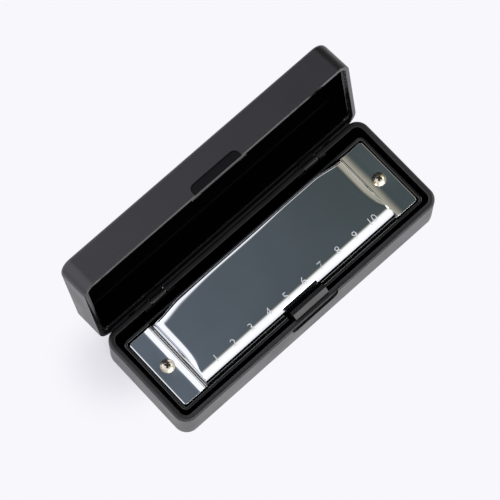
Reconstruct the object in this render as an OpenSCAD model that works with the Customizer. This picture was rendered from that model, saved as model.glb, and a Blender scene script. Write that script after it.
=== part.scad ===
// Hard case for a ten hole harmonica, with the harmonica in it.
// Millimetres. +X runs along the case, +Y to the hinge side, +Z up.
// The origin is the centre of the base's underside. The lid is drawn open.

/* [Case] */
// height of the base
base_height = 16.4; // [16.2:0.1:17]
// height of the lid
lid_height = 12; // [9.5:0.1:18]
// radius of the upright corners
corner_radius = 4.6; // [4.4:0.1:7]
// rounding of the outer edges of the floor and of the lid's roof
edge_round = 1.6; // [0.6:0.1:2.3]
// rounding of the base's outer rim edge
rim_round = 0.8; // [0.4:0.1:1]
// thickness of the base's side walls
base_wall = 2.2; // [1.8:0.1:2.4]
// thickness of the floor
floor_thickness = 1.3; // [0.9:0.1:1.3]
// gap between the two rims when the lid is shut
rim_gap = 0.15; // [0.1:0.01:0.25]

/* [Lid] */
// angle the lid is open at in the drawn pose, in degrees
lid_open_angle = 99.4; // [95:0.1:100]
// thickness of the lid's side walls
lid_wall = 2.4; // [2.2:0.1:2.6]
// thickness of the lid's roof
lid_roof = 1.4; // [1:0.1:2]
// hollow rounding between the lid's walls and its roof
lid_inner_round = 1.2; // [0.5:0.1:1.2]
// width of the step cut in the lid's inner rim edge
step_width = 0.85; // [0.5:0.05:1]
// depth of the step cut in the lid's inner rim edge
step_depth = 1.4; // [0.8:0.1:2]

/* [Cradle] */
// thickness of the raised lip round the harmonica
lip_thickness = 1.1; // [0.8:0.1:1.2]
// height of the lip's top above the table
lip_top = 15; // [12:0.1:15.6]
// gap between the harmonica and the lip at each end
lip_gap_end = 0.3; // [0.2:0.05:0.6]
// gap between the harmonica and the lip at front and back
lip_gap_side = 0.6; // [0.3:0.05:0.8]
// width of the groove between the lip and the wall at each end
groove_end = 1.35; // [0.8:0.05:3]
// width of the groove between the lip and the front wall
groove_front = 1.5; // [1.4:0.05:2.5]
// width of the groove between the lip and the back wall
groove_back = 2.9; // [2.5:0.05:5]
// gap under the harmonica where it rests
seat_gap = 0.1; // [0.05:0.01:0.3]

/* [Latch] */
// offset of the latch from the case's centre
latch_offset = 0.6; // [-4:0.1:4]
// length of the latch tongue
tongue_length = 14.1; // [8:0.1:14.6]
// thickness of the tongue's stem
tongue_stem = 1.3; // [0.9:0.1:1.4]
// gap between the tongue's stem and the harmonica
tongue_gap = 1.15; // [1.05:0.05:1.3]
// distance of the hook's tip inside the case's front face
hook_inset = 1.55; // [1.45:0.05:1.6]
// height of the hook above its underside
hook_height = 1.8; // [1.4:0.1:2]
// end gap between the tongue and the lip on either side of it
tongue_end_gap = 1; // [0.6:0.1:2]
// length of the two thumb recesses
recess_length = 19.6; // [12:0.1:22]
// depth of the thumb recess in the base
recess_depth = 0.6; // [0.2:0.05:0.8]
// depth of the thumb recess in the lid
lid_recess_depth = 0.5; // [0.2:0.05:0.6]
// height of the thumb recess in the base
base_recess_height = 4.5; // [2.5:0.1:6]
// height of the thumb recess in the lid
lid_recess_height = 3.3; // [2.2:0.1:5]
// length of the catch block in the lid's step
catch_length = 22.8; // [18:0.1:30]
// thickness of the ledge that the hook holds
catch_ledge = 0.7; // [0.5:0.05:0.8]

/* [Hinge] */
// distance of the hinge axis inside the back face
hinge_inset = 1.2; // [1:0.05:1.2]
// distance of the hinge axis below the base's rim
hinge_drop = 1.55; // [1.55:0.05:2]
// distance from each end of the case to the hinge
hinge_end = 22.55; // [18:0.05:36]
// width of the lid's hinge arm
arm_width = 5.8; // [3:0.1:8]
// side gap between the arm and the base's knuckles
arm_side_gap = 0.3; // [0.2:0.05:0.5]
// length of each knuckle on the base
knuckle_length = 3; // [2:0.1:5]
// radius of the knuckles
knuckle_radius = 1.45; // [1.3:0.05:1.45]
// width of the two stops under the open lid
stop_width = 2.6; // [2:0.1:3]
// radius of the hinge pins
pin_radius = 0.7; // [0.5:0.05:0.75]
// running clearance of the pin in the lid's arm
pin_clearance = 0.05; // [0.02:0.01:0.08]

/* [Harmonica] */
// length of the harmonica
harmonica_length = 101.2; // [96:0.1:112]
// depth of the harmonica, front to back
harmonica_width = 26.7; // [25:0.1:30]
// distance between two holes
hole_pitch = 7.5; // [7:0.05:7.6]
// width of one hole
hole_width = 5.2; // [3.6:0.1:5.6]
// thickness of the comb
comb_thickness = 6; // [5.4:0.1:6]
// thickness of a reed plate
plate_thickness = 0.9; // [0.7:0.05:0.9]
// sheet thickness of the covers
cover_sheet = 0.4; // [0.3:0.05:0.5]
// height of a cover's raised part above its end flanges
cover_rise = 4.8; // [4:0.1:4.8]
// length of a cover's flat end
cover_end = 9.3; // [8.8:0.1:9.6]
// radius of the shoulder at both ends of the raised part
shoulder_radius = 2.4; // [1.5:0.1:3]
// distance from each end of the harmonica to the cover screw
screw_edge = 4.6; // [4.4:0.05:4.8]
// solid depth of the comb behind its chambers
comb_back = 3.95; // [3.8:0.05:4.2]
// distance from the comb's front to the free tips of the blow reeds
reed_tip_front = 4.35; // [4:0.05:4.5]
// distance from the back of the chambers to the tips of the draw reeds
reed_tip_back = 3.2; // [2.9:0.05:3.3]
// distance from the comb's back to the row of small plate screws
plate_screw_edge = 1.95; // [1.85:0.05:2.1]
// radius of the small plate screws
plate_screw_radius = 0.7; // [0.5:0.05:0.75]
// radius of a rivet
rivet_radius = 0.55; // [0.4:0.05:0.6]
// thickness of a cover nut
nut_height = 1.4; // [1:0.1:1.6]
// radius of a cover nut over its corners
nut_radius = 2.3; // [2:0.05:2.45]
// radius of a cover screw's head
screw_head_radius = 2.4; // [1.8:0.05:2.45]
// height of a cover screw's head
screw_head_height = 1.3; // [0.8:0.05:1.5]
// radius of a cover screw's shank
screw_radius = 1; // [0.8:0.05:1.1]
// length of a reed's fixed end with its rivet
reed_pad = 2.1; // [1.8:0.1:2.4]
// gap between the longest reed's fixed end and the back of the chamber
reed_end_gap = 1.3; // [0.8:0.1:2]
// length taken off from one reed to the next
reed_step = 0.62; // [0.3:0.01:0.7]
// width of a reed
reed_width = 2; // [1.6:0.05:2.1]
// thickness of a reed
reed_thickness = 0.2; // [0.15:0.01:0.25]

/* [Hidden] */
$fn = 48;
plate_gap = 0.02;
bore_gap = 0.15;
wall_stack = lip_thickness + base_wall;
end_margin = lip_gap_end + groove_end + wall_stack;
front_margin = lip_gap_side + groove_front + wall_stack;
back_margin = lip_gap_side + groove_back + wall_stack;
case_length = harmonica_length + 2 * end_margin;
case_width = harmonica_width + front_margin + back_margin;
harmonica_y = (front_margin - back_margin) / 2;
harmonica_front = harmonica_y - harmonica_width / 2;
half_stack = comb_thickness / 2 + plate_thickness + cover_sheet + cover_rise;
harmonica_z = floor_thickness + seat_gap + half_stack;
plate_top = comb_thickness / 2 + plate_thickness;
flange_top = plate_top + cover_sheet;
hinge_y = case_width / 2 - hinge_inset;
hinge_z = base_height - hinge_drop;
lid_bottom = base_height + rim_gap;
lid_top = lid_bottom + lid_height;
inner_length = case_length - 2 * base_wall;
inner_width = case_width - 2 * base_wall;
lip_length = harmonica_length + 2 * lip_gap_end;
lip_width = harmonica_width + 2 * lip_gap_side;
front_face = -case_width / 2;
back_face = case_width / 2;
notch_width = arm_width + 2 * arm_side_gap;
pin_length = notch_width + 2 * knuckle_length - 0.4;
stem_back = harmonica_front - tongue_gap;
stem_front = stem_back - tongue_stem;
root_radius = tongue_stem / 2;
root_z = floor_thickness + 0.05 + root_radius;
hook_tip = front_face + hook_inset;
hook_under = lid_bottom + catch_ledge + 0.2;
hook_top = hook_under + hook_height;
ledge_tip = hook_tip + 0.6;
pocket_back = hook_tip - 0.4;
hinge_distance = case_length / 2 - hinge_end;
screw_distance = harmonica_length / 2 - screw_edge;
chamber_end = harmonica_width / 2 - comb_back;
screw_row = harmonica_width / 2 - plate_screw_edge;
plate_screw_x = [-4.7, -1.6, 1.6, 4.7] * hole_pitch;
rivet_place = 2 * rivet_radius;
body_half = harmonica_length / 2 - cover_end;
blow_tip = reed_tip_front - harmonica_width / 2;
draw_tip = chamber_end - reed_tip_back;
longest_reed = harmonica_width - comb_back - reed_tip_front - reed_pad - reed_end_gap;

function hole_x(k) = (k - 5.5) * hole_pitch;
function reed_length(k) = longest_reed - reed_step * (k - 1);

// rectangle with rounded corners, centred
module rounded_rect(l, w, r) {
  union() {
    square([l - 2 * r, w], center = true);
    square([l, w - 2 * r], center = true);
    for (sx = [-1, 1])
      for (sy = [-1, 1])
        translate([sx * (l / 2 - r), sy * (w / 2 - r)])
          circle(r = r);
  }
}

// upright rectangle standing on y = 0, its lower corners rounded by eb, its upper ones by et
module side_profile(l, h, eb, et) {
  union() {
    translate([-l / 2 + eb, 0])
      square([l - 2 * eb, h - et]);
    translate([-l / 2, eb])
      square([l, h - eb - et]);
    translate([-l / 2 + et, eb])
      square([l - 2 * et, h - eb]);
    for (s = [-1, 1]) {
      translate([s * (l / 2 - eb), eb])
        circle(r = eb);
      if (et > 0)
        translate([s * (l / 2 - et), h - et])
          circle(r = et);
    }
  }
}

// slab with rounded upright corners, its bottom edge rounded by eb and its top edge by et
module slab(l, w, h, r, eb, et) {
  intersection() {
    linear_extrude(h)
      rounded_rect(l, w, r);
    translate([0, w, 0])
      rotate([90, 0, 0])
        linear_extrude(2 * w)
          side_profile(l, h, eb, et);
    translate([-l, 0, 0])
      rotate([90, 0, 90])
        linear_extrude(2 * l)
          side_profile(w, h, eb, et);
  }
}

// turns what is drawn for the shut lid to the drawn open pose
module opened() {
  translate([0, hinge_y, hinge_z])
    rotate([-lid_open_angle, 0, 0])
      translate([0, -hinge_y, -hinge_z])
        children();
}

// round bar along X, centred on x
module bar_x(x, y, z, r, l, n = 32) {
  translate([x - l / 2, y, z])
    rotate([0, 90, 0])
      cylinder(r = r, h = l, $fn = n);
}

module base_shell() {
  color([0.03, 0.03, 0.034])
  difference() {
    union() {
      difference() {
        slab(case_length, case_width, base_height, corner_radius, edge_round, rim_round);
        translate([0, 0, floor_thickness])
          linear_extrude(base_height)
            rounded_rect(inner_length, inner_width, corner_radius - base_wall);
      }
      // lip that holds the harmonica
      translate([0, harmonica_y, floor_thickness - 0.2])
        linear_extrude(lip_top - floor_thickness + 0.2)
          difference() {
            rounded_rect(lip_length + 2 * lip_thickness, lip_width + 2 * lip_thickness, 2);
            rounded_rect(lip_length, lip_width, 1);
          }
      // ledges under the harmonica's flat ends
      for (sx = [-1, 1])
        for (sy = [-1, 1])
          translate([sx * (harmonica_length / 2 - cover_end / 2 + 1.4),
            harmonica_y + sy * (harmonica_width / 2 - 3.75), floor_thickness - 0.2])
            linear_extrude(harmonica_z - flange_top - seat_gap - floor_thickness + 0.2)
              square([cover_end - 1.9, 8.4], center = true);
      // knuckles that hold the pins
      for (s = [-1, 1]) {
        for (t = [-1, 1])
          bar_x(s * hinge_distance + t * (notch_width + knuckle_length) / 2,
            hinge_y, hinge_z, knuckle_radius, knuckle_length);
        // stop under the open lid
        translate([s * (hinge_distance + notch_width / 2 + knuckle_length + stop_width + 0.7),
          back_face + 0.8, hinge_z - hinge_inset - 1.65])
          cube([stop_width, 2.4, 2], center = true);
      }
    }
    // notches for the lid's arms
    for (s = [-1, 1])
      translate([s * hinge_distance - notch_width / 2, hinge_y - 3.2, hinge_z - knuckle_radius - 0.4])
        cube([notch_width, 6, hinge_drop + knuckle_radius + 2]);
    // bores for the pins
    for (s = [-1, 1])
      bar_x(s * hinge_distance, hinge_y, hinge_z, pin_radius + plate_gap, pin_length + 0.1, 48);
    // gap in the lip for the latch tongue
    translate([latch_offset - tongue_length / 2 - tongue_end_gap, front_face + base_wall, floor_thickness])
      cube([tongue_length + 2 * tongue_end_gap, groove_front + lip_thickness + lip_gap_side / 2,
        base_height]);
    // thumb recess
    translate([latch_offset, front_face - 1, base_height])
      rotate([-90, 0, 0])
        linear_extrude(1 + recess_depth)
          rounded_rect(recess_length, 2 * base_recess_height, 2);
  }
}

module lid_shell() {
  color([0.03, 0.03, 0.034])
  opened()
  difference() {
    union() {
      difference() {
        translate([0, 0, lid_top])
          mirror([0, 0, 1])
            slab(case_length, case_width, lid_height, corner_radius, edge_round, 0);
        // hollow
        translate([0, 0, lid_top - lid_roof])
          mirror([0, 0, 1])
            slab(case_length - 2 * lid_wall, case_width - 2 * lid_wall, lid_height + 2,
              corner_radius - lid_wall, lid_inner_round, 0);
        // step in the inner rim edge
        translate([0, 0, lid_bottom - 1])
          linear_extrude(step_depth + 1)
            rounded_rect(case_length - 2 * (lid_wall - step_width),
              case_width - 2 * (lid_wall - step_width), corner_radius - lid_wall + step_width);
      }
      // catch block that fills the step at the front
      translate([latch_offset - catch_length / 2, front_face + lid_wall - step_width - 0.1, lid_bottom])
        cube([catch_length, step_width + 0.1, step_depth + 0.1]);
      // hinge arms
      for (s = [-1, 1]) {
        bar_x(s * hinge_distance, hinge_y, hinge_z, knuckle_radius, arm_width, 48);
        translate([s * hinge_distance - arm_width / 2, back_face - lid_wall, hinge_z])
          cube([arm_width, lid_wall, hinge_drop + rim_gap + 0.6]);
      }
    }
    // pocket for the hook
    translate([latch_offset - tongue_length / 2 - 0.6, pocket_back, lid_bottom + catch_ledge])
      cube([tongue_length + 1.2, 4, 3]);
    // front of the ledge
    translate([latch_offset - tongue_length / 2 - 0.6, ledge_tip, lid_bottom - 1])
      cube([tongue_length + 1.2, 4, 2 + catch_ledge]);
    // thumb recess
    translate([latch_offset, front_face - 1, lid_bottom])
      rotate([-90, 0, 0])
        linear_extrude(1 + lid_recess_depth)
          rounded_rect(recess_length, 2 * lid_recess_height, 2);
    // bores that run on the pins
    for (s = [-1, 1])
      bar_x(s * hinge_distance, hinge_y, hinge_z, pin_radius + pin_clearance, arm_width + 2, 48);
  }
}

module latch_tongue() {
  color([0.04, 0.04, 0.045])
  translate([latch_offset + tongue_length / 2, 0, 0])
    rotate([0, -90, 0])
      linear_extrude(tongue_length)
        polygon([[root_z, stem_front], [floor_thickness + 0.05, stem_front + 0.4],
          [floor_thickness + 0.05, stem_back - 0.4], [root_z, stem_back],
          [hook_under - 0.6, stem_back], [hook_under - 0.4, stem_back + 0.2],
          [hook_top, stem_back + 0.2], [hook_top, stem_front + 0.2],
          [hook_under + 0.6, hook_tip], [hook_under, hook_tip],
          [hook_under, stem_front]]);
}

module hinge_pin(s) {
  color([0.62, 0.62, 0.64])
    bar_x(s * hinge_distance, hinge_y, hinge_z, pin_radius, pin_length, 48);
}

module hinge_pin_left() {
  hinge_pin(-1);
}

module hinge_pin_right() {
  hinge_pin(1);
}

// places what is drawn round the harmonica's own centre
module in_case() {
  translate([0, harmonica_y, harmonica_z])
    children();
}

// upright holes for the two cover screws
module screw_bores() {
  for (s = [-1, 1])
    translate([s * screw_distance, 0, -10])
      cylinder(r = screw_radius + bore_gap, h = 20);
}

module comb() {
  color([0.05, 0.05, 0.055])
  in_case()
  difference() {
    translate([0, 0, -comb_thickness / 2])
      linear_extrude(comb_thickness)
        rounded_rect(harmonica_length, harmonica_width, 1.2);
    for (k = [1:10])
      translate([hole_x(k) - hole_width / 2, -harmonica_width / 2 - 1, -comb_thickness])
        cube([hole_width, harmonica_width / 2 + 1 + chamber_end, 2 * comb_thickness]);
    screw_bores();
    for (x = plate_screw_x)
      translate([x, screw_row, -comb_thickness])
        cylinder(r = plate_screw_radius + plate_gap, h = 2 * comb_thickness, $fn = 24);
  }
}

// reed plate lying on z = 0, with slots from tip to tip plus the reed's length
module reed_plate(tip, away) {
  difference() {
    linear_extrude(plate_thickness)
      rounded_rect(harmonica_length - 0.6, harmonica_width - 0.6, 1);
    for (k = [1:10]) {
      translate([hole_x(k) - reed_width / 2 - 0.1, away > 0 ? tip : tip - reed_length(k), -1])
        cube([reed_width + 0.2, reed_length(k), 3]);
      translate([hole_x(k), tip + away * (reed_length(k) + rivet_place), -1])
        cylinder(r = rivet_radius + plate_gap, h = 3, $fn = 24);
    }
    screw_bores();
    for (x = plate_screw_x)
      translate([x, screw_row, -1])
        cylinder(r = plate_screw_radius + plate_gap, h = 3, $fn = 24);
  }
}

module top_reed_plate() {
  color([0.78, 0.6, 0.26])
  in_case()
    translate([0, 0, comb_thickness / 2])
      reed_plate(blow_tip, 1);
}

module bottom_reed_plate() {
  color([0.78, 0.6, 0.26])
  in_case()
    translate([0, 0, -plate_top])
      reed_plate(draw_tip, -1);
}

// reed with its rivet hole, lying on z = 0
module reed(k, tip, away) {
  difference() {
    translate([hole_x(k) - reed_width / 2,
      away > 0 ? tip + 0.15 : tip - reed_length(k) - reed_pad, 0])
      cube([reed_width, reed_length(k) + reed_pad - 0.15, reed_thickness]);
    translate([hole_x(k), tip + away * (reed_length(k) + rivet_place), -1])
      cylinder(r = rivet_radius + plate_gap, h = 3, $fn = 24);
  }
}

module blow_reed(k) {
  color([0.84, 0.68, 0.34])
  in_case()
    translate([0, 0, comb_thickness / 2 - reed_thickness])
      reed(k, blow_tip, 1);
}

module draw_reed(k) {
  color([0.84, 0.68, 0.34])
  in_case()
    translate([0, 0, -plate_top - reed_thickness])
      reed(k, draw_tip, -1);
}

// ten rivets through plate and reed, lying on z = 0
module rivets(tip, away) {
  for (k = [1:10])
    translate([hole_x(k), tip + away * (reed_length(k) + rivet_place), 0]) {
      cylinder(r = rivet_radius, h = plate_thickness + reed_thickness, $fn = 24);
      translate([0, 0, plate_thickness + reed_thickness])
        cylinder(r = rivet_radius * 1.55, h = rivet_radius * 0.45, $fn = 24);
      translate([0, 0, -rivet_radius * 0.45])
        cylinder(r = rivet_radius * 1.55, h = rivet_radius * 0.45, $fn = 24);
    }
}

module blow_reed_rivets() {
  color([0.8, 0.64, 0.3])
  in_case()
    translate([0, 0, comb_thickness / 2 - reed_thickness])
      rivets(blow_tip, 1);
}

module draw_reed_rivets() {
  color([0.8, 0.64, 0.3])
  in_case()
    translate([0, 0, -plate_top - reed_thickness])
      rivets(draw_tip, -1);
}

// four small slotted screws that hold one reed plate
module plate_screws() {
  for (x = plate_screw_x)
    translate([x, screw_row, 0])
      difference() {
        union() {
          translate([0, 0, comb_thickness / 15])
            cylinder(r = plate_screw_radius, h = plate_top - comb_thickness / 15, $fn = 24);
          translate([0, 0, plate_top])
            cylinder(r = plate_screw_radius * 1.7, h = plate_screw_radius, $fn = 24);
        }
        translate([-2 * plate_screw_radius, -plate_screw_radius / 4, plate_top + plate_screw_radius / 2])
          cube([4 * plate_screw_radius, plate_screw_radius / 2, 1]);
      }
}

module top_plate_screws() {
  color([0.8, 0.64, 0.3])
  in_case()
    plate_screws();
}

module bottom_plate_screws() {
  color([0.8, 0.64, 0.3])
  in_case()
    mirror([0, 0, 1])
      plate_screws();
}

// raised part of a cover, grown inwards by t
module cover_block(t, back) {
  rise = cover_rise + cover_sheet - t;
  nose = cover_rise + cover_sheet;
  intersection() {
    translate([-body_half + t, 0, 0])
      rotate([90, 0, 90])
        linear_extrude(2 * (body_half - t))
          union() {
            intersection() {
              translate([nose - harmonica_width / 2, 0])
                circle(r = nose - t, $fn = 64);
              translate([-harmonica_width / 2, -t])
                square([nose + 0.1, 2 * nose]);
            }
            translate([nose - harmonica_width / 2, -t])
              square([back - nose + harmonica_width / 2, rise + t]);
          }
    translate([0, harmonica_width, 0])
      rotate([90, 0, 0])
        linear_extrude(2 * harmonica_width)
          union() {
            translate([-body_half + t, -t])
              square([2 * (body_half - t), nose - shoulder_radius + t]);
            translate([-body_half + shoulder_radius, -t])
              square([2 * (body_half - shoulder_radius), rise + t]);
            for (s = [-1, 1])
              translate([s * (body_half - shoulder_radius), nose - shoulder_radius])
                circle(r = shoulder_radius - t, $fn = 48);
          }
  }
}

// cover lying on z = 0
module cover() {
  difference() {
    union() {
      linear_extrude(cover_sheet)
        rounded_rect(harmonica_length, harmonica_width, 1.3);
      cover_block(0, harmonica_width / 2);
    }
    cover_block(cover_sheet, harmonica_width / 2 - cover_sheet);
    // open back above the reed plate
    translate([-body_half + 2.4, harmonica_width / 2 - 2, -1])
      cube([2 * (body_half - 2.4), 4, cover_rise - 0.5 + 1]);
    // crease between the flat ends and the raised part
    for (s = [-1, 1])
      translate([s * (body_half + 0.45), harmonica_width, cover_sheet + 0.3])
        rotate([90, 0, 0])
          cylinder(r = 0.5, h = 2 * harmonica_width, $fn = 32);
    screw_bores();
  }
}

module top_cover() {
  color([0.82, 0.84, 0.86])
  in_case()
    translate([0, 0, plate_top])
      cover();
}

module bottom_cover() {
  color([0.82, 0.84, 0.86])
  in_case()
    mirror([0, 0, 1])
      translate([0, 0, plate_top])
        cover();
}

module cover_screws() {
  cap = (screw_head_radius * screw_head_radius + screw_head_height * screw_head_height)
    / (2 * screw_head_height);
  color([0.75, 0.74, 0.7])
  in_case()
  for (s = [-1, 1])
    translate([s * screw_distance, 0, 0])
      difference() {
        union() {
          translate([0, 0, -flange_top - nut_height - 0.2])
            cylinder(r = screw_radius, h = 2 * flange_top + nut_height + 0.3);
          intersection() {
            translate([0, 0, flange_top])
              cylinder(r = screw_head_radius, h = 2);
            translate([0, 0, flange_top + screw_head_height - cap])
              sphere(r = cap, $fn = 64);
          }
        }
        for (a = [45, 135])
          rotate([0, 0, a])
            translate([-screw_head_radius * 0.54, -screw_head_radius * 0.1,
              flange_top + screw_head_height * 0.46])
              cube([screw_head_radius * 1.08, screw_head_radius * 0.2, 2]);
      }
}

module cover_nuts() {
  color([0.75, 0.74, 0.7])
  in_case()
  for (s = [-1, 1])
    translate([s * screw_distance, 0, -flange_top - nut_height])
      linear_extrude(nut_height)
        difference() {
          circle(r = nut_radius, $fn = 6);
          circle(r = screw_radius + plate_gap);
        }
}

base_shell();
lid_shell();
latch_tongue();
hinge_pin_left();
hinge_pin_right();
comb();
top_reed_plate();
bottom_reed_plate();
blow_reed_rivets();
draw_reed_rivets();
top_plate_screws();
bottom_plate_screws();
top_cover();
bottom_cover();
cover_screws();
cover_nuts();
blow_reed(1);  // blow_reed_1
blow_reed(2);  // blow_reed_2
blow_reed(3);  // blow_reed_3
blow_reed(4);  // blow_reed_4
blow_reed(5);  // blow_reed_5
blow_reed(6);  // blow_reed_6
blow_reed(7);  // blow_reed_7
blow_reed(8);  // blow_reed_8
blow_reed(9);  // blow_reed_9
blow_reed(10);  // blow_reed_10
draw_reed(1);  // draw_reed_1
draw_reed(2);  // draw_reed_2
draw_reed(3);  // draw_reed_3
draw_reed(4);  // draw_reed_4
draw_reed(5);  // draw_reed_5
draw_reed(6);  // draw_reed_6
draw_reed(7);  // draw_reed_7
draw_reed(8);  // draw_reed_8
draw_reed(9);  // draw_reed_9
draw_reed(10);  // draw_reed_10
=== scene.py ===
import bpy
import bmesh
import math
from mathutils import Matrix, Vector


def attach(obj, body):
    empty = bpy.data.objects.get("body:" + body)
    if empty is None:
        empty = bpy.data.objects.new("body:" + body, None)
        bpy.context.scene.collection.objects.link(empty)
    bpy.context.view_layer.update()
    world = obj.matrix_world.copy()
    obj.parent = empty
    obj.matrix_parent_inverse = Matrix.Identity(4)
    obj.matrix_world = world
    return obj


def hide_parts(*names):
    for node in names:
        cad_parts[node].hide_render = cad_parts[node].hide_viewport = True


MM = 0.001

# camera, fitted to the photo's edges
cam_data = bpy.data.cameras.new("camera")
camera = bpy.data.objects.new("camera", cam_data)
bpy.context.scene.collection.objects.link(camera)
bpy.context.scene.camera = camera
CAM_RIGHT = Vector((0.73584985, -0.67712836, 0.00470943))
CAM_UP = Vector((0.64651924, 0.70462014, 0.29244374))
CAM_BACK = Vector((-0.2013402, -0.21215004, 0.95627113))
CAM_AT = Vector((-175.33438, -173.99089, 843.49368)) * MM
turn = Matrix((CAM_RIGHT, CAM_UP, CAM_BACK)).transposed().to_4x4()
camera.matrix_world = Matrix.Translation(CAM_AT) @ turn
cam_data.sensor_width = 36
cam_data.lens = 194.861
cam_data.clip_start = 0.01
cam_data.clip_end = 10
bpy.context.scene.view_settings.view_transform = "Standard"

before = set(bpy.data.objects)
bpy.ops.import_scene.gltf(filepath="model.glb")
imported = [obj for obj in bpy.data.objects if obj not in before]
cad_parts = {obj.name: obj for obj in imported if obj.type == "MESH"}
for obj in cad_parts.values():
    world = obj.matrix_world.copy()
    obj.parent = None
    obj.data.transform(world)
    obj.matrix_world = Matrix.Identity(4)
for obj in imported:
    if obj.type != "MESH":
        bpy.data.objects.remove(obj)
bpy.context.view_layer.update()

# sizes of the case in millimetres, the same as the solids
CASE_L, CASE_W = 111.1, 38.9
FRONT, BACK = -CASE_W / 2, CASE_W / 2
BASE_H, LID_H = 16.4, 12.0
CORNER = 4.6
EDGE_ROUND, RIM_ROUND = 1.6, 0.9
BASE_WALL, FLOOR = 2.2, 1.3
ROOT = FLOOR - 0.2
RIM_GAP = 0.15
LID_Z = BASE_H + RIM_GAP
LID_TOP = LID_Z + LID_H
LID_WALL, LID_ROOF, LID_ROUND = 2.4, 1.4, 1.2
STEP_W, STEP_D = 0.85, 1.4
OPEN_DEG = 99.4
HINGE_X, HINGE_Y, HINGE_Z = 33.0, CASE_W / 2 - 1.2, BASE_H - 1.55
ARM_W, NOTCH_W, KNUCKLE_L = 5.8, 6.4, 3.0
KNUCKLE = 1.45
LATCH_X = 0.6
TONGUE_HALF, POCKET_HALF, CATCH_HALF = 7.05, 7.65, 11.4
LEDGE_H, HOOK_GAP, HOOK_H = 0.7, 0.2, 1.8
RECESS_L, RECESS_ROUND = 19.6, 2.2

# sizes of the harmonica, whose pieces are drawn about its own middle
HARM_Y, HARM_Z = -0.7, 10.5
HARM_L, HARM_W = 101.2, 26.7
PLATE_TOP = 3.9
SHEET, RISE = 0.4, 5.2
NOSE_Y = RISE - HARM_W / 2
SCREW_X = 46.0
HOLE_PITCH = 7.5
# the crease's fold, and the painted shade line in the groove at its foot
CREASE_X, SHADE_LINE_X = 41.0, 41.52
COVER_CORNER = 1.3


def link(name, data):
    obj = bpy.data.objects.new(name, data)
    bpy.context.scene.collection.objects.link(obj)
    return obj


def mesh_from(name, verts, faces, marks=None):
    """Mesh object from millimetre points; marks gives each face's material index."""
    mesh = bpy.data.meshes.new(name)
    mesh.from_pydata([tuple(c * MM for c in v) for v in verts], [], faces)
    if marks:
        mesh.polygons.foreach_set("material_index", marks)
    mesh.update()
    return link(name, mesh)


def baked(obj):
    """Applies an object's modifiers to its mesh."""
    graph = bpy.context.evaluated_depsgraph_get()
    mesh = bpy.data.meshes.new_from_object(obj.evaluated_get(graph))
    obj.modifiers.clear()
    old = obj.data
    obj.data = mesh
    bpy.data.meshes.remove(old)
    return obj


def cut(obj, tools):
    """Cuts the tools out of an object; the cut faces take the tools' materials."""
    for tool in tools:
        mod = obj.modifiers.new("cut", "BOOLEAN")
        mod.operation = "DIFFERENCE"
        mod.solver = "EXACT"
        mod.material_mode = "TRANSFER"
        mod.object = tool
    baked(obj)
    for tool in tools:
        bpy.data.objects.remove(tool)
    return obj


def join(name, objs):
    """Joins objects into the first one, keeping material slots by name."""
    base = objs[0]
    slots = [m.name for m in base.data.materials]
    bm = bmesh.new()
    for obj in objs:
        tmp = obj.data.copy()
        lookup = []
        for m in tmp.materials:
            if m.name not in slots:
                base.data.materials.append(m)
                slots.append(m.name)
            lookup.append(slots.index(m.name))
        start = len(bm.faces)
        bm.from_mesh(tmp)
        bm.faces.ensure_lookup_table()
        for f in bm.faces[start:]:
            f.material_index = lookup[min(f.material_index, len(lookup) - 1)]
        bpy.data.meshes.remove(tmp)
    bm.to_mesh(base.data)
    bm.free()
    for obj in objs[1:]:
        bpy.data.objects.remove(obj)
    base.name = name
    return base


def soften(obj, width, angle, segments=2):
    """Rounds the edges that are sharper than the angle."""
    mod = obj.modifiers.new("edges", "BEVEL")
    mod.width = width * MM
    mod.segments = segments
    mod.limit_method = "ANGLE"
    mod.angle_limit = math.radians(angle)
    mod.use_clamp_overlap = True
    return baked(obj)


def smooth(obj, angle=32, flat_walls=True):
    """Smooth shading that keeps edges sharper than the angle, and wide faces flat."""
    bm = bmesh.new()
    bm.from_mesh(obj.data)
    bmesh.ops.recalc_face_normals(bm, faces=bm.faces)
    for f in bm.faces:
        f.smooth = True
    limit = math.radians(angle)
    for e in bm.edges:
        if len(e.link_faces) == 2:
            e.smooth = e.calc_face_angle(0) < limit
    bm.to_mesh(obj.data)
    bm.free()
    if flat_walls:
        mod = obj.modifiers.new("normals", "WEIGHTED_NORMAL")
        mod.mode = "FACE_AREA"
        mod.weight = 100
        mod.keep_sharp = True
        baked(obj)
    return obj


def set_materials(obj, *mats):
    """Fills the material slots and keeps each face's slot number."""
    marks = [f.material_index for f in obj.data.polygons]
    obj.data.materials.clear()
    for m in mats:
        obj.data.materials.append(m)
    obj.data.polygons.foreach_set("material_index", marks)
    return obj


def ring(length, width, r, z, n, cy=0.0):
    """Rounded rectangle of points at height z."""
    pts = []
    for sx, sy, a0 in ((1, 1, 0), (-1, 1, 90), (-1, -1, 180), (1, -1, 270)):
        for i in range(n + 1):
            a = math.radians(a0 + 90 * i / n)
            x = sx * (length / 2 - r) + r * math.cos(a)
            y = cy + sy * (width / 2 - r) + r * math.sin(a)
            pts.append((x, y, z))
    return pts


def profile_rings(length, width, corner, points, n=10, cy=0.0, least=0.6):
    """One ring for each (inset, z) point of a wall's profile."""
    return [
        ring(length - 2 * d, width - 2 * d, max(corner - d, least), z, n, cy)
        for d, z in points
    ]


def circle(r, n):
    """Points of a circle about the origin."""
    turns = [2 * math.pi * i / n for i in range(n)]
    return [(r * math.cos(a), r * math.sin(a)) for a in turns]


def disc(x, r, z, n):
    """Ring of points about an upright axis at x."""
    return [(x + u, v, z) for u, v in circle(r, n)]


def arc(cx, cz, r, a0, a1, n):
    """Points of an arc in a profile, angles in degrees."""
    out = []
    for i in range(n + 1):
        a = math.radians(a0 + (a1 - a0) * i / n)
        out.append((cx + r * math.cos(a), cz + r * math.sin(a)))
    return out


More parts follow.
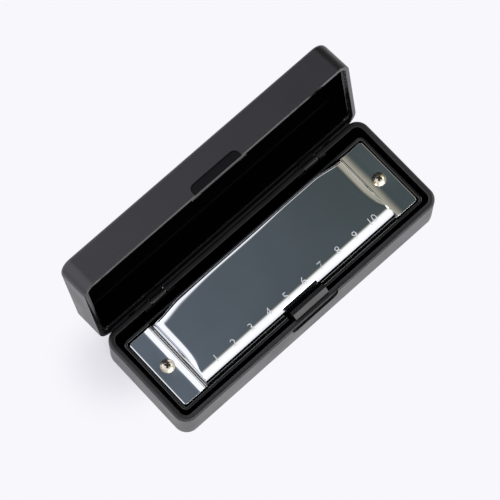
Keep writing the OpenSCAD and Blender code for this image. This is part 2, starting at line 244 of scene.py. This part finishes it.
def loft(name, rings, closed=False, marks=None):
    """Skin over rings of points, with flat ends, or closed from the last ring to the first."""
    n = len(rings[0])
    verts = [p for r in rings for p in r]
    faces, tags = [], []
    for k in range(len(rings) if closed else len(rings) - 1):
        a, b = k * n, ((k + 1) % len(rings)) * n
        for i in range(n):
            j = (i + 1) % n
            faces.append((a + i, a + j, b + j, b + i))
            tags.append(marks[k] if marks else 0)
    if not closed:
        faces.append(tuple(reversed(range(n))))
        tags.append(marks[0] if marks else 0)
        last = (len(rings) - 1) * n
        faces.append(tuple(last + i for i in range(n)))
        tags.append(marks[-1] if marks else 0)
    return mesh_from(name, verts, faces, tags)


def box_at(name, lo, hi):
    verts = [
        (x, y, z) for x in (lo[0], hi[0]) for y in (lo[1], hi[1]) for z in (lo[2], hi[2])
    ]
    faces = [(0, 1, 3, 2), (4, 6, 7, 5), (0, 4, 5, 1), (2, 3, 7, 6), (0, 2, 6, 4), (1, 5, 7, 3)]
    return mesh_from(name, verts, faces)


def prism(name, near, far):
    """Solid between two equal outlines."""
    n = len(near)
    faces = [tuple(range(n)), tuple(reversed(range(n, 2 * n)))]
    faces += [(i, n + i, n + (i + 1) % n, (i + 1) % n) for i in range(n)]
    return mesh_from(name, near + far, faces)


def thumb_recess(z, height, depth):
    """Tool for the thumb recess in a front wall, centred at height z."""
    outline = [(LATCH_X + u, z + v) for u, v, _ in ring(RECESS_L, height, RECESS_ROUND, 0, 8)]
    return prism(
        "recess",
        [(x, FRONT - 1, v) for x, v in outline],
        [(x, FRONT + depth, v) for x, v in outline],
    )


def knuckle(name, x0, x1):
    """Round bar on the hinge's axis, with rounded end edges."""
    r, w = KNUCKLE, x1 - x0
    soft, near = 0.25, 0.08
    profile = [(0, r - soft), (near, r - near), (soft, r)]
    profile += [(w - soft, r), (w - near, r - near), (w, r - soft)]
    return loft(
        name, [[(x0 + x, HINGE_Y + u, HINGE_Z + v) for u, v in circle(c, 40)] for x, c in profile]
    )


def fill(tree, node, inputs):
    """Sets the constants and makes the links of a node's inputs."""
    for socket, value in inputs.items():
        if isinstance(value, bpy.types.NodeSocket):
            tree.links.new(value, node.inputs[socket])
        else:
            node.inputs[socket].default_value = value


def add_node(tree, kind, inputs, **settings):
    """New node; its settings come first, because they decide which inputs it has."""
    node = tree.nodes.new(kind)
    for key, value in settings.items():
        setattr(node, key, value)
    fill(tree, node, inputs)
    return node


def new_group(name, **outputs):
    """Node group with these outputs; returns its tree and its output node."""
    tree = bpy.data.node_groups.new(name, "ShaderNodeTree")
    for socket, kind in outputs.items():
        tree.interface.new_socket(
            name=socket, in_out="OUTPUT", socket_type="NodeSocket" + kind
        )
    return tree, tree.nodes.new("NodeGroupOutput")


def place(tree, kind="Object"):
    return tree.nodes.new("ShaderNodeTexCoord").outputs[kind]


def split(tree, vector):
    return add_node(tree, "ShaderNodeSeparateXYZ", {0: vector}).outputs


def calc(tree, operation, *values):
    node = add_node(tree, "ShaderNodeMath", dict(enumerate(values)), operation=operation)
    return node.outputs[0]


def remap(tree, value, lo, hi, to_lo=0.0, to_hi=1.0, curve="SMOOTHSTEP"):
    """Maps lo..hi to to_lo..to_hi and holds the value outside."""
    node = add_node(
        tree,
        "ShaderNodeMapRange",
        {"Value": value, "From Min": lo, "From Max": hi, "To Min": to_lo, "To Max": to_hi},
        interpolation_type=curve,
    )
    return node.outputs["Result"]


def mix(tree, factor, a, b, data_type="RGBA", blend_type="MIX"):
    """Mix of two colours or numbers; a colour may be a link or three numbers."""
    inputs = {"Factor": factor, "A": a, "B": b}
    for socket in ("A", "B"):
        if isinstance(inputs[socket], tuple):
            inputs[socket] = (*inputs[socket], 1)
    node = add_node(
        tree, "ShaderNodeMix", inputs, data_type=data_type, blend_type=blend_type
    )
    return node.outputs["Result"]


def surface_group(name, fine, coarse, rough_lo, rough_hi, bump):
    """Node group with wear: a roughness, a normal and a tone that scales the colour."""
    tree, out = new_group(name, Roughness="Float", Normal="Vector", Tone="Float")
    where = place(tree)
    grain, cloud = [
        add_node(
            tree, "ShaderNodeTexNoise", {"Vector": where, "Scale": scale, "Detail": detail}
        ).outputs["Fac"]
        for scale, detail in ((fine, 3), (coarse, 4))
    ]
    bumps = add_node(
        tree, "ShaderNodeBump", {"Strength": bump, "Distance": 0.0001, "Height": grain}
    )
    fill(tree, out, {
        "Roughness": remap(tree, cloud, 0.3, 0.7, rough_lo, rough_hi, "LINEAR"),
        "Normal": bumps.outputs["Normal"],
        "Tone": remap(tree, cloud, 0.0, 1.0, 0.85, 1.15, "LINEAR"),
    })
    return tree


def crease_group():
    """Mask of the painted shade line, dark and dull, along the crease at the foot of the cover's
    shoulders.
    """
    tree, out = new_group("crease_painted_shade", Mask="Float")
    side = calc(tree, "ABSOLUTE", split(tree, place(tree))["X"])
    off = calc(tree, "ABSOLUTE", calc(tree, "SUBTRACT", side, SHADE_LINE_X * MM))
    fill(tree, out, {"Mask": remap(tree, off, 0.2 * MM, 0.08 * MM)})
    return tree


def dust_group():
    """Mask of sparse pale specks."""
    tree, out = new_group("dust", Mask="Float")
    cells = add_node(tree, "ShaderNodeTexVoronoi", {"Vector": place(tree), "Scale": 260})
    few = calc(tree, "GREATER_THAN", split(tree, cells.outputs["Color"])["X"], 0.9)
    near = remap(tree, cells.outputs["Distance"], 0.055, 0.03, 0.0, 0.8, "LINEAR")
    fill(tree, out, {"Mask": calc(tree, "MULTIPLY", few, near)})
    return tree


def material(name, color, wear, metallic=0.0, ior=1.5, specular=0.5, marks=None):
    """Material with wear; marks lays a second colour and roughness over a mask."""
    mat = bpy.data.materials.new(name)
    mat.use_nodes = True
    tree = mat.node_tree
    worn = add_node(tree, "ShaderNodeGroup", {}, node_tree=surface_group(*wear)).outputs
    tint = mix(tree, 1.0, color, worn["Tone"], blend_type="MULTIPLY")
    rough = worn["Roughness"]
    if marks:
        group, mark_color, mark_rough = marks
        mask = add_node(tree, "ShaderNodeGroup", {}, node_tree=group).outputs["Mask"]
        tint = mix(tree, mask, tint, mark_color)
        rough = mix(tree, mask, rough, mark_rough, data_type="FLOAT")
    fill(tree, tree.nodes["Principled BSDF"], {
        "Metallic": metallic,
        "IOR": ior,
        "Specular IOR Level": specular,
        "Base Color": tint,
        "Roughness": rough,
        "Normal": worn["Normal"],
    })
    return mat


# wear is (name, fine scale, coarse scale, lowest and highest roughness, grain)
outer_plastic = material(
    "case_outside", (0.005, 0.005, 0.0058), ("matte_grain", 2600, 90, 0.34, 0.42, 0.12),
    specular=0.68, marks=(dust_group(), (0.1, 0.1, 0.11), 0.6),
)
# inside of the case: painted shade, a darker copy of the outside plastic that barely reflects
inner_plastic_painted_shade = material(
    "case_inside_painted_shade", (0.0008, 0.0008, 0.0009), ("polished_plastic", 400, 60, 0.14, 0.22, 0.03),
    ior=1.06,
)
# painted shade: near-black colour for the screws' cross recesses
slot_painted_shade = material(
    "slot_painted_shade", (0.03, 0.024, 0.018), ("slot_shade_noise", 3000, 300, 0.5, 0.7, 0.05),
)
latch_plastic = material(
    "latch_plastic", (0.004, 0.004, 0.0045), ("latch_grain", 900, 80, 0.2, 0.3, 0.05),
)
# painted sheen for the hook's sloped face: lighter than latch_plastic, with a higher IOR
latch_painted_sheen = material(
    "latch_painted_sheen", (0.02, 0.02, 0.022), ("latch_painted_sheen_grain", 900, 60, 0.2, 0.34, 0.05),
    ior=2.3,
)
# thumb recesses: painted shade, a darker copy of the case's plastic with a weaker reflection
recess_painted_shade = material(
    "recess_painted_shade", (0.003, 0.003, 0.0035), ("recess_grain", 1500, 80, 0.3, 0.4, 0.05),
    specular=0.13,
)
comb_plastic = material(
    "comb_plastic", (0.004, 0.004, 0.0045), ("comb_grain", 900, 80, 0.25, 0.4, 0.05),
)
# chrome; its marks are a painted shade line, brownish and dull, along the crease
chrome = material(
    "cover_chrome", (0.86, 0.88, 0.9), ("plated", 500, 40, 0.035, 0.06, 0.004),
    metallic=1.0, marks=(crease_group(), (0.2, 0.175, 0.15), 0.5),
)
sheet_edge = material(
    "sheet_edge", (0.1, 0.1, 0.1), ("sheared", 1500, 200, 0.4, 0.5, 0.05),
    metallic=1.0,
)
lip_plastic = material(
    "lip_plastic", (0.003, 0.003, 0.0034), ("lip_grain", 400, 60, 0.12, 0.2, 0.02),
    specular=1.0,
)
screw_metal = material(
    "screw_plating", (0.66, 0.61, 0.49), ("screw_wear", 1500, 300, 0.24, 0.36, 0.03),
    metallic=1.0,
)
pin_metal = material(
    "pin_steel", (0.6, 0.6, 0.62), ("ground_steel", 2500, 200, 0.22, 0.35, 0.05),
    metallic=1.0,
)
brass = material(
    "brass_sheet", (0.42, 0.3, 0.14), ("rolled_brass", 1800, 120, 0.22, 0.36, 0.05),
    metallic=1.0,
)
mark_paint = material(
    "number_engraving", (0.62, 0.64, 0.66), ("engraving", 4000, 300, 0.45, 0.6, 0.1),
    metallic=0.35,
)

# base
outside = arc(EDGE_ROUND, EDGE_ROUND, EDGE_ROUND, 270, 180, 8)
rim = arc(RIM_ROUND, BASE_H - RIM_ROUND, RIM_ROUND, 180, 96, 7)
rim += [(1.5, BASE_H - 0.01)]
rim += arc(BASE_WALL - 0.3, BASE_H - 0.35, 0.3, 90, 0, 3)
inside = [(BASE_WALL, FLOOR + 0.4), (BASE_WALL + 0.12, FLOOR + 0.12), (BASE_WALL + 0.4, FLOOR)]
points = outside + rim + inside
marks = [0] * (len(outside) + len(rim) - 3) + [1] * (len(inside) + 2)
base = loft("base_body", profile_rings(CASE_L, CASE_W, CORNER, points), marks=marks)
set_materials(base, outer_plastic, inner_plastic_painted_shade, recess_painted_shade)
tools = [set_materials(thumb_recess(BASE_H, 9.0, 0.6), recess_painted_shade)]
for s in (-1, 1):
    notch = box_at(
        "notch",
        (s * HINGE_X - NOTCH_W / 2, HINGE_Y - 3.2, HINGE_Z - KNUCKLE - 0.4),
        (s * HINGE_X + NOTCH_W / 2, HINGE_Y + 2.8, BASE_H + 2),
    )
    tools.append(set_materials(notch, outer_plastic))
cut(base, tools)
soften(base, 0.12, 45)

# lip around the harmonica, open in front for the latch tongue
LIP_L, LIP_W, LIP_T, LIP_TOP = HARM_L + 0.6, HARM_W + 1.2, 1.1, 15.0
GAP_HALF = 8.05
lip_points = [(0, ROOT), (0, LIP_TOP - 0.3)]
lip_points += arc(0.3, LIP_TOP - 0.3, 0.3, 180, 90, 4)[1:]
lip_points += arc(LIP_T - 0.25, LIP_TOP - 0.25, 0.25, 90, 0, 4)
lip_points += [(LIP_T, ROOT)]
lip = loft(
    "lip",
    profile_rings(LIP_L + 2 * LIP_T, LIP_W + 2 * LIP_T, 2.0, lip_points, 8, HARM_Y, 0.9),
    closed=True,
)
set_materials(lip, lip_plastic)
cut(lip, [
    box_at("gap", (LATCH_X - GAP_HALF, -17.25, FLOOR + 0.01), (LATCH_X + GAP_HALF, -14.35, 18)),
])

# ledges under the harmonica's ends, knuckles of the hinge and stops for the open lid
extras = []
for sx in (-1, 1):
    for sy in (-1, 1):
        x, y = sx * 47.35, HARM_Y + sy * 9.6
        ledge = box_at("ledge", (x - 3.7, y - 4.2, ROOT), (x + 3.7, y + 4.2, 6.1))
        extras.append(soften(set_materials(ledge, inner_plastic_painted_shade), 0.15, 40))
for s in (-1, 1):
    for t in (-1, 1):
        x = s * HINGE_X + t * (NOTCH_W + KNUCKLE_L) / 2
        bar = knuckle("knuckle", x - KNUCKLE_L / 2, x + KNUCKLE_L / 2)
        extras.append(set_materials(bar, outer_plastic))
    x = s * 42.5
    stop = box_at("stop", (x - 1.3, 19.05, 11.0), (x + 1.3, 21.45, 13.0))
    extras.append(soften(set_materials(stop, outer_plastic), 0.15, 40))
base = join("case_base", [base, lip] + extras)
smooth(base)
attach(base, "base")
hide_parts("base_shell")

# lid, drawn shut and then turned open
step_edge = LID_WALL - STEP_W
step_top = LID_Z + STEP_D
roof = arc(EDGE_ROUND, LID_TOP - EDGE_ROUND, EDGE_ROUND, 90, 180, 8)
lid_rim = [(0, LID_Z + 0.25), (0.08, LID_Z + 0.07), (0.25, LID_Z)]
lid_rim += [(step_edge - 0.15, LID_Z), (step_edge, LID_Z + 0.15)]
lid_step = [(step_edge, step_top), (LID_WALL - 0.12, step_top), (LID_WALL, step_top + 0.12)]
hollow = arc(LID_WALL + LID_ROUND, LID_TOP - LID_ROOF - LID_ROUND, LID_ROUND, 180, 90, 7)
points = roof + lid_rim + lid_step + hollow
marks = [0] * len(roof) + [2] * (len(lid_rim) - 1 + len(lid_step)) + [1] * len(hollow)
lid = loft("lid_body", profile_rings(CASE_L, CASE_W, CORNER, points), marks=marks)
set_materials(lid, outer_plastic, inner_plastic_painted_shade, lip_plastic)
pocket = box_at(
    "pocket",
    (LATCH_X - POCKET_HALF, -18.3, LID_Z + LEDGE_H),
    (LATCH_X + POCKET_HALF, -14.3, LID_Z + 3.7),
)
cut(lid, [
    set_materials(thumb_recess(LID_Z, 6.6, 0.5), recess_painted_shade),
    set_materials(pocket, inner_plastic_painted_shade),
])
soften(lid, 0.12, 45)

# catch blocks and ledge for the hook
wall_in = FRONT + LID_WALL
step_out = wall_in - STEP_W - 0.3
parts = []
for s in (-1, 1):
    xa, xb = LATCH_X + s * POCKET_HALF, LATCH_X + s * CATCH_HALF
    parts.append(
        box_at("catch", (min(xa, xb), step_out, LID_Z), (max(xa, xb), wall_in, step_top + 0.3))
    )
parts.append(
    box_at("ledge", (LATCH_X - 7.8, step_out, LID_Z), (LATCH_X + 7.8, -17.3, LID_Z + LEDGE_H))
)
for part in parts:
    soften(set_materials(part, outer_plastic), 0.1, 40)

# arms of the hinge
for s in (-1, 1):
    x0 = s * HINGE_X - ARM_W / 2
    bar = knuckle("arm_knuckle", x0, x0 + ARM_W)
    arm = box_at("arm", (x0, BACK - LID_WALL, HINGE_Z), (x0 + ARM_W, BACK, LID_Z + 0.4))
    soften(arm, 0.2, 40)
    parts += [set_materials(bar, outer_plastic), set_materials(arm, outer_plastic)]
lid = join("case_lid", [lid] + parts)
smooth(lid)
lid.data.transform(
    Matrix.Translation((0, HINGE_Y * MM, HINGE_Z * MM))
    @ Matrix.Rotation(math.radians(-OPEN_DEG), 4, "X")
    @ Matrix.Translation((0, -HINGE_Y * MM, -HINGE_Z * MM))
)
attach(lid, "lid")
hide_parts("lid_shell")

# latch tongue; the sloped face of its hook has a painted sheen, a lighter colour with a stronger
# reflection
UNDER = LID_Z + LEDGE_H + HOOK_GAP
TOP = UNDER + HOOK_H
STEM_FRONT, STEM_BACK, HOOK_BACK, HOOK_TIP = -16.5, -15.2, -15.0, -17.9
tongue_line = [
    (STEM_FRONT, 2.0), (-16.1, 1.35), (-15.6, 1.35), (STEM_BACK, 2.0),
    (STEM_BACK, UNDER - 0.6), (HOOK_BACK, UNDER - 0.4), (HOOK_BACK, TOP), (-16.3, TOP),
    (HOOK_TIP, UNDER + 0.6), (HOOK_TIP, UNDER), (STEM_FRONT, UNDER),
]
tongue = prism(
    "latch_tongue_piece",
    [(LATCH_X - TONGUE_HALF, y, z) for y, z in tongue_line],
    [(LATCH_X + TONGUE_HALF, y, z) for y, z in tongue_line],
)
set_materials(tongue, latch_plastic, latch_painted_sheen)
for face in tongue.data.polygons:
    face.material_index = 1 if face.normal.y < -0.25 and face.normal.z > 0.25 else 0
soften(tongue, 0.12, 20, 3)
smooth(tongue)
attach(tongue, "latch")
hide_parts("latch_tongue")

# covers; the bend at the right end is wider than the one at the left
RIGHT_BEND, LEFT_BEND = 3.8, 3.0
SHOULDER = 2.9
RAISED_END = 41.26
FRONT_ROWS = [NOSE_Y - RISE * math.cos(math.radians(3.75 * i)) for i in range(25)]
FRONT_ROWS += [-8.0, -7.3, -6, -3.5, -1, 1.5, 4]
BACK_ROWS = (
    6, 5, 4.2, 3.5, 2.9, 2.4, 2.0, 1.65, 1.35, 1.1, 0.9, 0.72, 0.58, 0.46, 0.4, 0.35, 0.3, 0.24,
    0.18, 0.12, 0.06, 0,
)
ROUNDED_END = ((50.3, 0.38), (50.42, 0.33), (50.52, 0.25), (50.58, 0.12), (50.6, 0.0))
LEFT_FOLD = (
    (41.38, 0.3), (41.5, 0.22), (41.62, 0.26), (41.74, 0.42), (41.84, 0.64), (41.94, 0.81),
    (42.06, 0.9), (42.2, 0.92), (42.4, 0.88), (42.7, 0.79), (43.0, 0.7), (43.3, 0.61),
    (43.6, 0.52), (43.85, 0.46), (44.1, 0.42),
)
RIGHT_FOLD = ((41.05, 0.46), (41.1, 0.6), (41.2, 0.78), (41.35, 0.95))


def ease(t):
    t = min(max(t, 0.0), 1.0)
    return t * t * (3 - 2 * t)


def level(*xs):
    """Columns that lie flat."""
    return [(x, SHEET) for x in xs]


def bend_columns(r):
    """Columns that crowd towards the crease over a bend."""
    return level(*(CREASE_X - r + r * math.sin(math.radians(5 * i)) for i in range(19)))


def cover_columns(side):
    """(x, flat height) from the middle to one end."""
    cols = level(0, 4, 8, 12, 16, 19, 22, 24, 26, 28, 30, 31.5, 33, 34.5)
    if side > 0:
        cols += level(35.5, 36.5) + bend_columns(RIGHT_BEND) + level(41.02) + [*RIGHT_FOLD]
        for x in (41.6, 41.9, 42.2, 42.5, 42.9, 43.3, 43.7, 44.2, 44.7, 45.2, 45.6):
            cols.append((x, SHEET + 0.5 * ((45.6 - x) / 3.7) ** 2))
        return cols + level(46.5, 47.5, 48.4, 49.3, 49.8, 50.1) + [*ROUNDED_END]
    cols += level(36, 37, 37.7) + bend_columns(LEFT_BEND)
    cols += level(41.02, 41.04, 41.08, 41.15, 41.25) + [*LEFT_FOLD]
    return cols + level(44.4, 45, 46, 47, 48, 49.3, 49.8, 50.1) + [*ROUNDED_END]


def shoulder_share(x, y):
    """Share of the raised height that is left at x; the shoulder is tighter at the front."""
    r = SHOULDER - 2.1 * ease((-1.0 - y) / 9.5)
    if 0 < x < CREASE_X:
        x = CREASE_X - (CREASE_X - x) * SHOULDER / RIGHT_BEND
    x = abs(x)
    if x <= CREASE_X - r:
        return 1.0
    if x <= CREASE_X:
        z = RISE - r + math.sqrt(max(r * r - (x - CREASE_X + r) ** 2, 0))
        return (z - SHEET) / (RISE - SHEET)
    foot = (RISE - r - SHEET) / (RISE - SHEET)
    return foot * max(1 - (x - CREASE_X) / 0.25, 0) ** 2.5


def back_edge(x):
    """Where the raised part ends at the back."""
    return 13.35 - 1.25 * ease((abs(x) - 29) / 10)


def back_drop(x, gap):
    """Fall of the raised part at a distance from its back edge: a turn down, then a flat rim."""
    turn_at, steep_at, rim_at = 0.46, 0.3, 0.12
    turn_w, steep_w = 0.16, 0.18
    gentle, more = 0.12, 0.5
    reach = 1.5 + 1.3 * ease((-x - 14) / 20) - 0.7 * ease(x / 16)
    total, d, step = 0.0, reach, 0.02
    while d > gap:
        if d > turn_at:
            slope = gentle * ((reach - d) / (reach - turn_at)) ** 1.2
        elif d > steep_at:
            slope = gentle + more * (turn_at - d) / turn_w
        else:
            slope = (gentle + more) * max(d - rim_at, 0) / steep_w
        total += slope * step
        d -= step
    return total


def nose_height(y):
    """Height of the raised part, which is rounded at the front."""
    return RISE if y > NOSE_Y else math.sqrt(max(RISE * RISE - (y - NOSE_Y) ** 2, 0))


def cover_height(x, y):
    return nose_height(y) - back_drop(x, back_edge(x) - y)


def screw_dip(x, y):
    """Shallow dip around a screw in the flat end."""
    return 0.09 * math.exp(-((abs(x) - SCREW_X) ** 2 + y * y) / 9.0)


def cover_grid():
    """Points and faces of the cover's outer side, in columns from left to right."""
    cols = [(-x, z) for x, z in reversed(cover_columns(-1)[1:])] + cover_columns(1)
    rows = len(FRONT_ROWS) + len(BACK_ROWS)
    half = HARM_W / 2
    limit = half - COVER_CORNER
    edge_w = 0.08
    verts, faces = [], []
    for x, flat in cols:
        over = abs(x) - (HARM_L / 2 - COVER_CORNER)
        reach = half
        if over > 0:
            inward = COVER_CORNER ** 2 - min(over, COVER_CORNER) ** 2
            reach -= COVER_CORNER - math.sqrt(max(inward, 0))
        blend = ease(shoulder_share(x, 8.0) * 3)
        back = back_edge(x) * blend + half * (1 - blend)
        raised = abs(x) < RAISED_END
        spots = [(y, nose_height(y)) for y in FRONT_ROWS]
        spots += [(back - gap, RISE - (back_drop(x, gap) if raised else 0)) for gap in BACK_ROWS]
        for y, up in spots:
            share = shoulder_share(x, y)
            edge = half - abs(y)
            drop = 0.0 if edge > edge_w else (edge_w - edge) ** 2 / (2 * edge_w)
            low = max(flat - drop - screw_dip(x, y), 0.0)
            z = low + share * max(up - low, 0.0)
            if abs(y) > limit and over > 0:
                y = math.copysign(limit + (abs(y) - limit) * (reach - limit) / COVER_CORNER, y)
            verts.append((x, y, z))
    for i in range(len(cols) - 1):
        for j in range(rows - 1):
            a = i * rows + j
            faces.append((a, a + rows, a + rows + 1, a + 1))
    return verts, faces


def build_cover(name):
    """Cover of thin sheet with its screw holes."""
    obj = mesh_from(name, *cover_grid())
    bm = bmesh.new()
    bm.from_mesh(obj.data)
    bmesh.ops.remove_doubles(bm, verts=bm.verts, dist=0.004 * MM)
    if sum(f.normal.z for f in bm.faces) < 0:
        bmesh.ops.reverse_faces(bm, faces=bm.faces)
    bm.to_mesh(obj.data)
    bm.free()
    sheet = obj.modifiers.new("sheet", "SOLIDIFY")
    sheet.thickness = 0.3 * MM
    sheet.offset = -1
    sheet.material_offset_rim = 1
    set_materials(obj, chrome, sheet_edge)
    baked(obj)
    holes = []
    for s in (-1, 1):
        bpy.ops.mesh.primitive_cylinder_add(
            vertices=32, radius=1.15 * MM, depth=6 * MM, location=(s * SCREW_X * MM, 0, 0)
        )
        holes.append(set_materials(bpy.context.object, chrome))
    return cut(obj, holes)


def at_harmonica(obj, z, flip=False):
    """Moves a piece from the harmonica's own middle to its place, mirrored for the underside."""
    move = Matrix.Translation((0, HARM_Y * MM, HARM_Z * MM))
    if flip:
        move = move @ Matrix.Scale(-1, 4, (0, 0, 1))
    obj.data.transform(move @ Matrix.Translation((0, 0, z * MM)))
    if flip:
        obj.data.flip_normals()
    return obj


for name, node, flip in (
    ("top_cover_sheet", "top_cover", False),
    ("bottom_cover_sheet", "bottom_cover", True),
):
    cover = build_cover(name)
    smooth(cover, 50, False)
    at_harmonica(cover, PLATE_TOP, flip)
    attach(cover, "harmonica")
    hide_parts(node)

# engraved hole numbers, laid on the cover's curve
DIGIT_H, DIGIT_Y, DIGIT_LIFT = 3.9, -10.8, 0.03
digit_objs = []
for k in range(1, 11):
    curve = bpy.data.curves.new("number", "FONT")
    curve.body = str(k)
    curve.size = DIGIT_H * MM
    curve.offset = -0.03 * MM
    curve.align_x = "CENTER"
    curve.resolution_u = 4
    text = link("number", curve)
    graph = bpy.context.evaluated_depsgraph_get()
    mesh = bpy.data.meshes.new_from_object(text.evaluated_get(graph))
    bpy.data.objects.remove(text)
    obj = link("number_%d" % k, mesh)
    bm = bmesh.new()
    bm.from_mesh(mesh)
    bmesh.ops.triangulate(bm, faces=bm.faces)
    long_edges = [e for e in bm.edges if e.calc_length() > 0.5 * MM]
    bmesh.ops.subdivide_edges(bm, edges=long_edges, cuts=3, use_grid_fill=False)
    for v in bm.verts:
        x = (k - 5.5) * HOLE_PITCH + v.co.x / MM
        y = DIGIT_Y + v.co.y / MM
        v.co = Vector((x, y, PLATE_TOP + cover_height(x, y) + DIGIT_LIFT)) * MM
    bm.to_mesh(mesh)
    bm.free()
    digit_objs.append(set_materials(obj, mark_paint))
numbers = join("hole_numbers", digit_objs)
at_harmonica(numbers, 0)
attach(numbers, "harmonica")


def screw(x):
    """Head with a cross recess, and shank, of the cover screw at x."""
    r, h = 2.4, 1.3
    seat = PLATE_TOP + SHEET
    dome = (r * r + h * h) / (2 * h)
    steps = 12
    outline = [(0, r - 0.1), (0.12, r)]
    for i in range(1, steps):
        c = r * (1 - i / steps)
        outline.append((max(h - dome + math.sqrt(dome * dome - c * c), 0.14), c))
    head = loft("screw", [disc(x, c, seat + z, 48) for z, c in outline])
    set_materials(head, screw_metal, slot_painted_shade)
    tools = []
    # the cross recess's faces take the painted shade material
    for a in (45, 135):
        slot = set_materials(box_at("slot", (-1.8, -0.4, -0.75), (1.8, 0.4, 1)), slot_painted_shade)
        for v in slot.data.vertices:
            if v.co.z < 0:
                v.co.x *= 0.35
                v.co.y *= 0.7
        slot.data.transform(
            Matrix.Translation((x * MM, 0, (seat + h) * MM))
            @ Matrix.Rotation(math.radians(a), 4, "Z")
        )
        tools.append(slot)
    cut(head, tools)
    soften(head, 0.05, 40)
    shank = ((0.8, -5.9), (1.0, -5.7), (1.0, seat + 0.05))
    stem = loft("stem", [disc(x, c, z, 24) for c, z in shank])
    return [head, set_materials(stem, screw_metal)]


screws = join("cover_screw_pair", screw(-SCREW_X) + screw(SCREW_X))
smooth(screws, 35, False)
at_harmonica(screws, 0)
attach(screws, "harmonica")
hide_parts("cover_screws")

# solids shown as they are, with their own finish
looks = {
    "comb": comb_plastic,
    "cover_nuts": screw_metal,
    "hinge_pin_left": pin_metal,
    "hinge_pin_right": pin_metal,
}
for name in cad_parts:
    if "reed" in name or "plate_screws" in name:
        looks[name] = brass
for name, mat in looks.items():
    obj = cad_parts[name]
    obj.data.materials.clear()
    obj.data.materials.append(mat)

# floor: an even glow, with a matt spot at the case's left end that takes its shadow
side = 3.0
floor_mesh = bpy.data.meshes.new("floor")
floor_mesh.from_pydata(
    [(-side, -side, 0), (side, -side, 0), (side, side, 0), (-side, side, 0)], [], [(0, 1, 2, 3)]
)
floor = link("floor", floor_mesh)
floor_mat = bpy.data.materials.new("floor")
floor_mat.use_nodes = True
ft = floor_mat.node_tree
ft.nodes.clear()
away = add_node(
    ft, "ShaderNodeVectorMath", {0: place(ft), 1: (-0.057, 0.015, 0)}, operation="DISTANCE"
)
matt = add_node(ft, "ShaderNodeBsdfDiffuse", {"Color": (0.86, 0.85, 0.885, 1)})
glow = add_node(ft, "ShaderNodeEmission", {"Color": (0.939, 0.93, 0.972, 1), "Strength": 1.0})
both = add_node(ft, "ShaderNodeMixShader", {
    "Fac": remap(ft, away.outputs["Value"], 0.002, 0.022, 0.42, 1.0),
    1: matt.outputs[0],
    2: glow.outputs[0],
})
add_node(ft, "ShaderNodeOutputMaterial", {"Surface": both.outputs[0]})
floor_mesh.materials.append(floor_mat)


def studio_group():
    """Brightness of the room by direction: a dark part above, white in front and at the left."""
    tree, out = new_group("studio_room", Color="Color")
    xyz = split(tree, place(tree, "Generated"))

    def step(axis, lo, hi):
        return remap(tree, xyz[axis], lo, hi)

    def shape(axis, centre, half):
        """Fourth power of the distance from the dark part's centre, in half widths."""
        off = calc(tree, "DIVIDE", calc(tree, "SUBTRACT", xyz[axis], centre), half)
        return calc(tree, "POWER", calc(tree, "ABSOLUTE", off), 4)

    dark = mix(tree, step("X", 0.1, 0.27), (0.125, 0.15, 0.185), (0.062, 0.078, 0.08))
    dark = mix(tree, step("X", 0.36, 0.8), dark, (0.46, 0.43, 0.34))
    dark = mix(tree, step("Y", -0.3, -0.5), dark, (0.5, 0.475, 0.38))
    field = calc(tree, "ADD", shape("X", 0.45, 0.615), shape("Y", -0.12, 0.4))
    left = mix(tree, step("Z", 0.35, 0.1), (1.1, 1.1, 1.12), (0.35, 0.42, 0.6))
    bright = mix(tree, step("X", -0.1, -0.3), (1.06, 1.06, 1.1), left)
    cream = mix(tree, step("Y", -0.1, -0.5), (0.4, 0.385, 0.31), (1.06, 1.06, 1.1))
    bright = mix(tree, step("X", 0.36, 0.5), bright, cream)
    rear = mix(tree, step("X", 0.1, 0.3), (1.5, 1.5, 1.72), (0.0, 0.0, 0.0))
    bright = mix(tree, step("Y", 0.32, 0.45), bright, rear)
    room = mix(tree, remap(tree, field, 0.55, 1.5), dark, bright)
    strip = calc(tree, "MULTIPLY", step("Y", -0.7, -0.8), step("Z", 0.28, 0.34))
    strip = calc(tree, "MULTIPLY", strip, step("Z", 0.62, 0.56))
    fill(tree, out, {"Color": mix(tree, strip, room, (4.0, 4.0, 4.0))})
    return tree


# surroundings and light
world = bpy.data.worlds.new("studio")
bpy.context.scene.world = world
world.use_nodes = True
wt = world.node_tree
wt.nodes.clear()
studio = add_node(wt, "ShaderNodeGroup", {}, node_tree=studio_group())
shine = add_node(wt, "ShaderNodeBackground", {"Color": studio.outputs["Color"]})
add_node(wt, "ShaderNodeOutputWorld", {"Surface": shine.outputs[0]})

key_data = bpy.data.lights.new("key", "AREA")
key_data.shape = "RECTANGLE"
key_data.size = 0.5
key_data.size_y = 0.5
key_data.energy = 3.0
key = link("key", key_data)
key.location = (0.9, -0.25, 0.75)
key.rotation_euler = (-Vector(key.location)).to_track_quat("-Z", "Y").to_euler()
